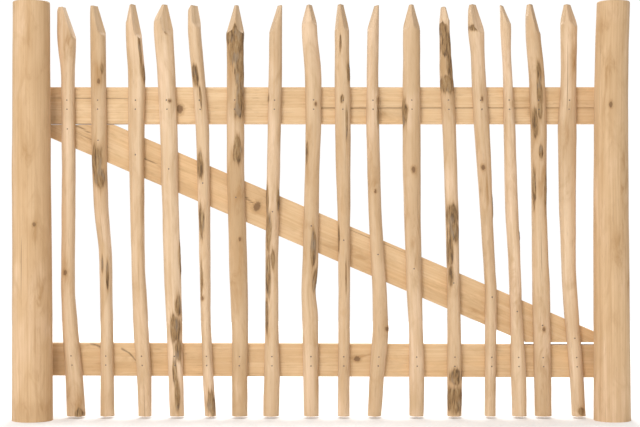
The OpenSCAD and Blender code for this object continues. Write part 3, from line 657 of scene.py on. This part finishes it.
def cleft_picket(index):
    node = f"picket_{index + 1:02d}"
    ridge, boxy, (left_depth, left_turn), (right_depth, right_turn), tint, marks = PICKETS[index]
    left_depth, right_depth = left_depth / 1000, right_depth / 1000
    rows = picket_edges(node)
    low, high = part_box(node)
    back, thick = high[1], high[1] - low[1]
    foot, top = rows[0, 0], rows[-1, 0]
    heights = np.linspace(foot, top, int((top - foot) / PICKET_RING_GAP))
    turns = np.linspace(-math.pi / 2, math.pi / 2, PICKET_FRONT)
    front = []
    for a in turns:
        s = math.sin(a)
        off = (s - ridge) / (1.0 + ridge if s < ridge else 1.0 - ridge)
        depth = max(0.0, 1.0 - abs(off) ** boxy) ** (1.0 / 2.0)
        front.append((s, PICKET_EDGE + (1.0 - PICKET_EDGE) * depth))
    section = front + [(0.995, 0.17), (0.985, 0.03)]
    section += [(s, 0.0) for s in np.linspace(0.93, -0.93, PICKET_BACK)]
    section += [(-0.985, 0.03), (-0.995, 0.17)]
    section = np.array(section)
    around = len(section)
    left_low = (np.interp(top - left_depth, rows[:, 0], rows[:, 1]), top - left_depth)
    right_low = (np.interp(top - right_depth, rows[:, 0], rows[:, 2]), top - right_depth)
    lefts = np.interp(heights, rows[:, 0], rows[:, 1])
    rights = np.interp(heights, rows[:, 0], rows[:, 2])
    lefts[heights > left_low[1]] = left_low[0]
    rights[heights > right_low[1]] = right_low[0]
    # soften the bends, as living wood has no corners
    for _ in range(BEND_PASSES):
        lefts[1:-1] = (lefts[:-2] + 2 * lefts[1:-1] + lefts[2:]) / 4
        rights[1:-1] = (rights[:-2] + 2 * rights[1:-1] + rights[2:]) / 4
    middle, half = (lefts + rights) / 2, (rights - lefts) / 2
    points = np.empty((len(heights), around, 3))
    points[:, :, 0] = middle[:, None] + half[:, None] * section[None, :, 0]
    points[:, :, 1] = back - thick * section[None, :, 1]
    points[:, :, 2] = heights[:, None]
    across = np.broadcast_to(section[:, 0], (len(heights), around)).ravel()
    facing = np.broadcast_to(np.clip(section[:, 1] * 6.0, 0.0, 1.0), (len(heights), around)).ravel()
    points = points.reshape(-1, 3)
    grain = np.column_stack([points[:, 0] - np.repeat(middle, around) + index * 0.61,
                             points[:, 1], points[:, 2] + index * 1.7])
    uncut = points.copy()
    strokes(points, back, [(left_low, (rows[-1, 1], top), left_turn, -1.0),
                           (right_low, (rows[-1, 2], top), right_turn, 1.0)])
    # the last stroke leans the tip back a little
    lean = np.clip((points[:, 2] - (top - TIP_LENGTH)) / TIP_LENGTH, 0.0, 1.0) * TIP_LOSS
    points[:, 1] = np.maximum(points[:, 1], np.minimum(back - thick + lean, back))
    faces = ring_faces(len(heights), around, capped=True)
    shown = {kind: mark_strength(marks, kind, across, points[:, 2], facing) for kind in MARKS}
    # the axe takes the bark with it
    hewn = np.clip((np.abs(points - uncut).max(axis=1) - 0.0006) / 0.0012, 0.0, 1.0)
    for kind in MARKS:
        shown[kind] = shown[kind] * (1.0 - hewn)
    shown["tint"] = tint * (1.0 - 0.5 * hewn)
    end = np.zeros(len(points))
    end[:around] = end[-around:] = 0.5
    shown["end"] = end
    depths = {"Fibre depth": 0.0007, "Fibres per metre": 230.0, "Ripple depth": 0.0026,
              "Ripples per metre": 13.0, "Knot height": 0.0022, "Bark thickness": 0.0020}
    piece = wood_piece(node + "_wood", points, faces, grain, shown, cleft_finish, depths,
                       seat=(1, 1, back), sharp=50.0)
    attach(piece, "leaf")
    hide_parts(node)
    return piece


pickets = [cleft_picket(index) for index in range(len(PICKETS))]


# ----------------------------------------
# The nails: round wire nails driven through each picket, two into each rail and one into
# the brace, their domed heads struck just below the face of the wood and dulled by rust.
# ----------------------------------------

NAIL_SINK = 0.0007        # how far each head is driven below the wood around it
NAIL_HEAD = 0.16          # how domed a head is, as a share of its width
NAIL_SHANK = 0.21         # a shank's radius, as a share of its head's width
NAIL_SPARE = 0.004        # kept off a shank's length, so that its point stays in the wood
NAIL_TILT = math.radians(3.0)
nail_finish, nail_nodes = new_material("nail_steel")
spots = add(nail_nodes, "ShaderNodeTexNoise", {
    "Vector": add(nail_nodes, "ShaderNodeTexCoord").outputs["Object"], "Scale": 900.0, "Detail": 3.0})
rust = blend_colour(nail_nodes, ramp(nail_nodes, spots.outputs[0], 0.42, 0.62),
                    (0.16, 0.145, 0.13), (0.20, 0.11, 0.06))
shaded(nail_nodes, {"Base Color": rust, "Metallic": 0.7,
                    "Roughness": calc(nail_nodes, "MULTIPLY_ADD", spots.outputs[0], 0.4, 0.35)})


def cylinder(tree, sides, radius, depth):
    return add(tree, "GeometryNodeMeshCylinder", {
        "Vertices": sides, "Radius": radius, "Depth": depth}).outputs["Mesh"]


def dome(tree, sides, rings, radius, height):
    """A ball flattened along Z to the height of a nail's or screw's head."""
    ball = add(tree, "GeometryNodeMeshUVSphere", {"Segments": sides, "Rings": rings, "Radius": radius})
    flat = add(tree, "ShaderNodeCombineXYZ", {
        "X": 1.0, "Y": 1.0, "Z": calc(tree, "DIVIDE", height, radius)}).outputs[0]
    return add(tree, "GeometryNodeTransform", {
        "Geometry": ball.outputs["Mesh"], "Scale": flat}).outputs[0]


def raised(tree, geometry, height):
    move = add(tree, "ShaderNodeCombineXYZ", {"Z": height}).outputs[0]
    return add(tree, "GeometryNodeTransform", {"Geometry": geometry, "Translation": move}).outputs[0]


def driven(tree, given, parts, least, most):
    """Ends a tree with its parts joined and set on every point, each turned at random."""
    whole = add(tree, "GeometryNodeJoinGeometry")
    for part in parts:
        tree.links.new(part, whole.inputs[0])
    turn = add(tree, "FunctionNodeRandomValue", {
        "Min": least, "Max": most, "Seed": given["Seed"]}, data_type="FLOAT_VECTOR").outputs["Value"]
    placed = add(tree, "GeometryNodeInstanceOnPoints", {
        "Points": given["Geometry"], "Instance": whole.outputs[0], "Rotation": turn}).outputs[0]
    return ended(tree, placed, given["Finish"])


def nail_tree():
    """A nail on every point: a domed head and a shank that runs into the wood along +Y."""
    tree, given = new_tree("nails", (
        "Head radius", "Head thickness", "Shank radius", "Shank length", "Tilt"))
    length, tilt = given["Shank length"], given["Tilt"]
    shank = raised(tree, cylinder(tree, 12, given["Shank radius"], length), times(tree, length, 0.5))
    head = dome(tree, 20, 10, given["Head radius"], given["Head thickness"])
    lean = times(tree, tilt, -1.0)
    turns = [add(tree, "ShaderNodeCombineXYZ", {
        "X": calc(tree, "ADD", side, -math.pi / 2), "Z": side}).outputs[0] for side in (lean, tilt)]
    return driven(tree, given, (shank, head), *turns)


def solid_middles(node):
    """The middle and the size of each separate solid in a CAD node."""
    shape = bmesh.new()
    shape.from_mesh(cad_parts[node].data)
    bmesh.ops.remove_doubles(shape, verts=shape.verts, dist=1e-5)
    left, found = set(shape.verts), []
    while left:
        group, queue = [], [left.pop()]
        while queue:
            vert = queue.pop()
            group.append(vert.co.copy())
            for edge in vert.link_edges:
                other = edge.other_vert(vert)
                if other in left:
                    left.remove(other)
                    queue.append(other)
        low = Vector([min(c[k] for c in group) for k in range(3)])
        high = Vector([max(c[k] for c in group) for k in range(3)])
        found.append(((low + high) / 2, high - low))
    shape.free()
    return sorted(found, key=lambda item: (round(item[0].x, 4), round(item[0].z, 4)))


def wood_front(places):
    """The front face of the nearest picket at each (x, z), as a list of points."""
    trees = [BVHTree.FromPolygons([v.co[:] for v in p.data.vertices],
                                  [f.vertices[:] for f in p.data.polygons]) for p in pickets]
    hits = []
    for x, z in places:
        found = [t.ray_cast(Vector((x, -1.0, z)), Vector((0.0, 1.0, 0.0)))[0] for t in trees]
        hits.append(min((h for h in found if h is not None), key=lambda h: h.y))
    return hits


def fixings(node, points, tree, sizes, sharp):
    """Sets a nail or a screw on every point and fixes them all to the leaf."""
    cloud = bpy.data.meshes.new(node + "_points")
    cloud.from_pydata(points, [], [])
    piece = grown(node + "_steel", cloud, tree, sizes)
    piece.data.shade_smooth()
    piece.data.set_sharp_from_angle(angle=math.radians(sharp))
    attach(piece, "leaf")
    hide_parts(node)


nails_on_points = nail_tree()
for seed, node in enumerate(("top_rail_nails", "bottom_rail_nails", "brace_nails")):
    solids = solid_middles(node)
    heads = wood_front([(middle.x, middle.z) for middle, _ in solids])
    size = solids[0][1]
    fixings(node, [(h.x, h.y + NAIL_SINK, h.z) for h in heads], nails_on_points, {
        "Head radius": size.x / 2, "Head thickness": size.x * NAIL_HEAD,
        "Shank radius": size.x * NAIL_SHANK, "Shank length": size.y - NAIL_SPARE,
        "Tilt": NAIL_TILT, "Seed": seed + 11, "Finish": nail_finish}, sharp=50.0)


# ----------------------------------------
# The pintles: round bar driven into the back of the right post and turned up into a pin on
# a forged boss. They carry the leaf and are hot-dipped, so the zinc is dull and spangled.
# ----------------------------------------

PINTLE_ARRIS = 0.0009


def zinc_finish(name, dark, light, dull, roughness, spangle_size):
    """Zinc on steel: grey crystals, cloudy patches and small pits."""
    material, tree = new_material(name)
    place = add(tree, "ShaderNodeTexCoord").outputs["Object"]
    spangle = add(tree, "ShaderNodeTexVoronoi", {"Vector": place, "Scale": 1.0 / spangle_size})
    crystal = add(tree, "ShaderNodeSeparateColor", {"Color": spangle.outputs["Color"]}).outputs[0]
    cloudy = add(tree, "ShaderNodeTexNoise", {"Vector": place, "Scale": 42.0, "Detail": 4.0}).outputs[0]
    pits = add(tree, "ShaderNodeTexNoise", {"Vector": place, "Scale": 620.0, "Detail": 3.0}).outputs[0]
    colour = blend_colour(tree, crystal, dark, light)
    colour = blend_colour(tree, ramp(tree, cloudy, 0.46, 0.72), colour, dull)
    relief = calc(tree, "MULTIPLY_ADD", pits, 0.35, cloudy)
    bump = add(tree, "ShaderNodeBump", {"Height": relief, "Strength": 0.35, "Distance": 0.0009})
    rough = calc(tree, "MULTIPLY_ADD", crystal, 0.12, calc(tree, "MULTIPLY_ADD", cloudy, 0.25, roughness))
    shaded(tree, {"Base Color": colour, "Metallic": 0.9, "Roughness": rough,
                  "Normal": bump.outputs[0]})
    return material


def forged(node, body, arris, finish):
    """A steel piece with the CAD's outline and its sharp edges eased, as forging leaves them."""
    shape = bmesh.new()
    shape.from_mesh(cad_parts[node].data)
    bmesh.ops.remove_doubles(shape, verts=shape.verts, dist=1e-5)
    bmesh.ops.dissolve_limit(shape, angle_limit=math.radians(1.0), verts=shape.verts, edges=shape.edges)
    bmesh.ops.recalc_face_normals(shape, faces=shape.faces)
    edges = [e for e in shape.edges
             if len(e.link_faces) == 2 and e.calc_face_angle(0.0) > math.radians(32.0)]
    bmesh.ops.bevel(shape, geom=edges, offset=arris, offset_type="OFFSET", segments=2,
                    profile=0.5, affect="EDGES", clamp_overlap=True)
    mesh = bpy.data.meshes.new(node + "_steel")
    shape.to_mesh(mesh)
    shape.free()
    mesh.materials.clear()
    mesh.materials.append(finish)
    mesh.shade_smooth()
    mesh.set_sharp_from_angle(angle=math.radians(35.0))
    piece = placed(node + "_steel", mesh)
    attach(piece, body)
    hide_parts(node)


dipped_zinc = zinc_finish("hot_dipped_zinc", dark=(0.33, 0.345, 0.36), light=(0.50, 0.52, 0.535),
                          dull=(0.44, 0.44, 0.425), roughness=0.34, spangle_size=0.0065)
for node in ("upper_pintle", "lower_pintle"):
    forged(node, "posts", PINTLE_ARRIS, dipped_zinc)


# ----------------------------------------
# The hinge straps: flat bar rolled into an eye at one end, lying on the back of each rail.
# ----------------------------------------

STRAP_ARRIS = 0.0007
for node in ("upper_strap", "lower_strap"):
    forged(node, "leaf", STRAP_ARRIS, dipped_zinc)


# ----------------------------------------
# The coach screws: four through each strap, hexagon heads turned tight by hand, so no two
# stand at the same angle. They are bright zinc.
# ----------------------------------------

COACH_HEAD = 0.004        # thickness of a head
COACH_SHANK = 0.26        # a shank's radius, as a share of its head's width


def coach_screw_tree():
    """A coach screw on every point: its shank runs along -Y, its chamfered head along +Y."""
    tree, given = new_tree("coach_screws", (
        "Head radius", "Head thickness", "Shank radius", "Shank length"))
    radius, thick, length = given["Head radius"], given["Head thickness"], given["Shank length"]
    flats = raised(tree, cylinder(tree, 6, radius, times(tree, thick, 0.8)), times(tree, thick, 0.4))
    crown = add(tree, "GeometryNodeMeshCone", {
        "Vertices": 24, "Radius Bottom": times(tree, radius, 0.86),
        "Radius Top": times(tree, radius, 0.70), "Depth": times(tree, thick, 0.25)}).outputs["Mesh"]
    crown = raised(tree, crown, times(tree, thick, 0.75))
    shank = raised(tree, cylinder(tree, 24, given["Shank radius"], length), times(tree, length, -0.5))
    return driven(tree, given, (flats, crown, shank),
                  (-math.pi / 2, 0.0, 0.0), (-math.pi / 2, math.pi / 3, 0.0))


bright_zinc = zinc_finish("bright_zinc", dark=(0.50, 0.52, 0.54), light=(0.66, 0.68, 0.70),
                          dull=(0.55, 0.56, 0.55), roughness=0.22, spangle_size=0.003)
coach_solids = solid_middles("strap_screws")
coach_size = coach_solids[0][1]
coach_width = max(coach_size.x, coach_size.z)
fixings("strap_screws", [(m.x, m.y + size.y / 2 - COACH_HEAD, m.z) for m, size in coach_solids],
        coach_screw_tree(), {
            "Head radius": coach_width / 2, "Head thickness": COACH_HEAD,
            "Shank radius": coach_width * COACH_SHANK, "Shank length": coach_size.y - COACH_HEAD,
            "Seed": 5, "Finish": bright_zinc}, sharp=30.0)


# ----------------------------------------
# The slide bolt: a round bar with a cranked handle and a ball knob, running in two guides
# on a pressed plate that is screwed to the back of the top rail. Bright zinc.
# ----------------------------------------

BOLT_ARRIS = 0.0005
forged("bolt_plate", "leaf", BOLT_ARRIS, bright_zinc)
forged("slide_bolt", "bolt", BOLT_ARRIS, bright_zinc)


# ----------------------------------------
# The plate's screws: small round-headed wood screws with a straight slot.
# ----------------------------------------

PLATE_SCREW_HEAD = 0.0025
PLATE_SCREW_SHANK = 0.27  # a shank's radius, as a share of its head's width
SLOT_WIDTH = 0.001
SLOT_DEPTH = 0.0011


def slotted_screw_tree():
    """A round-headed screw on every point: its shank runs along -Y, its head along +Y."""
    tree, given = new_tree("slotted_screws", (
        "Head radius", "Head height", "Shank radius", "Shank length", "Slot width", "Slot depth"))
    height, length = given["Head height"], given["Shank length"]
    head = dome(tree, 64, 32, given["Head radius"], height)
    here = add(tree, "ShaderNodeSeparateXYZ", {
        "Vector": add(tree, "GeometryNodeInputPosition").outputs[0]}).outputs
    in_slot = calc(tree, "LESS_THAN", calc(tree, "ABSOLUTE", here["X"]),
                   times(tree, given["Slot width"], 0.5))
    over = calc(tree, "SUBTRACT", here["Z"], calc(tree, "SUBTRACT", height, given["Slot depth"]))
    cut = times(tree, calc(tree, "MAXIMUM", over, 0.0), -1.0)
    cut = add(tree, "ShaderNodeCombineXYZ", {"Z": times(tree, cut, in_slot)}).outputs[0]
    head = add(tree, "GeometryNodeSetPosition", {"Geometry": head, "Offset": cut}).outputs[0]
    shank = raised(tree, cylinder(tree, 16, given["Shank radius"], length), times(tree, length, -0.5))
    return driven(tree, given, (head, shank),
                  (-math.pi / 2, 0.0, 0.0), (-math.pi / 2, math.pi, 0.0))


plate_solids = solid_middles("bolt_plate_screws")
plate_size = plate_solids[0][1]
fixings("bolt_plate_screws",
        [(m.x, m.y + size.y / 2 - PLATE_SCREW_HEAD, m.z) for m, size in plate_solids],
        slotted_screw_tree(), {
            "Head radius": plate_size.x / 2, "Head height": PLATE_SCREW_HEAD,
            "Shank radius": plate_size.x * PLATE_SCREW_SHANK,
            "Shank length": plate_size.y - PLATE_SCREW_HEAD, "Slot width": SLOT_WIDTH,
            "Slot depth": SLOT_DEPTH, "Seed": 3, "Finish": bright_zinc}, sharp=40.0)


# ----------------------------------------
# The keeper: a staple of round bar driven into the back of the left post, which takes the
# nose of the bolt. Hot-dipped like the hinges.
# ----------------------------------------

KEEPER_ARRIS = 0.0005
forged("bolt_keeper", "posts", KEEPER_ARRIS, dipped_zinc)


# ----------------------------------------
# The studio: a plain white floor, one broad soft lamp beyond the camera's left shoulder,
# another above and behind the gate, and a white sky.
# ----------------------------------------

CAMERA_X = -0.699
CAMERA_Z = 0.494
CAMERA_BACK = 3.6
FRAME_WIDTH = 1.531       # how much of the gate's plane the camera sees

camera = placed("camera", bpy.data.cameras.new("camera"))
camera.location = (CAMERA_X, -CAMERA_BACK, CAMERA_Z)
camera.rotation_euler = (math.pi / 2, 0.0, 0.0)
camera.data.lens = camera.data.sensor_width * CAMERA_BACK / FRAME_WIDTH
bpy.context.scene.camera = camera

FLOOR_REACH = 3.3
PAPER_WHITE = 1.03

floor_mesh = bpy.data.meshes.new("floor")
corners = [(CAMERA_X + x * FLOOR_REACH, y * FLOOR_REACH, 0.0)
           for x, y in ((-1, -1), (1, -1), (1, 1), (-1, 1))]
floor_mesh.from_pydata(corners, [], [(0, 1, 2, 3)])
floor = placed("floor", floor_mesh)
paper = bpy.data.materials.new("white_floor")
paper.use_nodes = True
paper_shader = paper.node_tree.nodes["Principled BSDF"]
paper_shader.inputs["Base Color"].default_value = (0.94, 0.94, 0.94, 1.0)
paper_shader.inputs["Roughness"].default_value = 0.9
paper_shader.inputs["Specular IOR Level"].default_value = 0.0
floor_mesh.materials.append(paper)

sky = bpy.data.worlds.new("sky")
bpy.context.scene.world = sky
sky.use_nodes = True
sky_nodes = sky.node_tree
toward = add(sky_nodes, "ShaderNodeSeparateXYZ", {
    "Vector": add(sky_nodes, "ShaderNodeTexCoord").outputs["Generated"]}).outputs
side_light = calc(sky_nodes, "MULTIPLY_ADD", toward["X"], -0.2, 0.6)
ceiling = calc(sky_nodes, "MULTIPLY_ADD", ramp(sky_nodes, toward["Z"], 0.4, 0.9), 0.5, side_light)
back_light = times(sky_nodes, ramp(sky_nodes, toward["Y"], 0.75, 0.95), PAPER_WHITE)
sky_nodes.nodes["Background"].inputs["Color"].default_value = (1.0, 1.0, 1.0, 1.0)
# whichever way the camera looks, it sees the same white paper
light = calc(sky_nodes, "MAXIMUM", ceiling, back_light)
seen = add(sky_nodes, "ShaderNodeLightPath").outputs["Is Camera Ray"]
sky_nodes.links.new(calc(sky_nodes, "MAXIMUM", light, times(sky_nodes, seen, PAPER_WHITE)),
                    sky_nodes.nodes["Background"].inputs["Strength"])

LAMPS = [("key", (-2.4, -4.6, 2.0), 2.0, 118.0), ("ceiling", (-0.7, 2.3, 2.7), 2.0, 84.0)]
for name, place, size, power in LAMPS:
    lamp = placed(name, bpy.data.lights.new(name, "AREA"))
    lamp.data.shape = "SQUARE"
    lamp.data.size = size
    lamp.data.energy = power
    lamp.location = place
    aim = Vector((CAMERA_X, 0.4, 0.4)) - Vector(place)
    lamp.rotation_euler = aim.to_track_quat("-Z", "Y").to_euler()
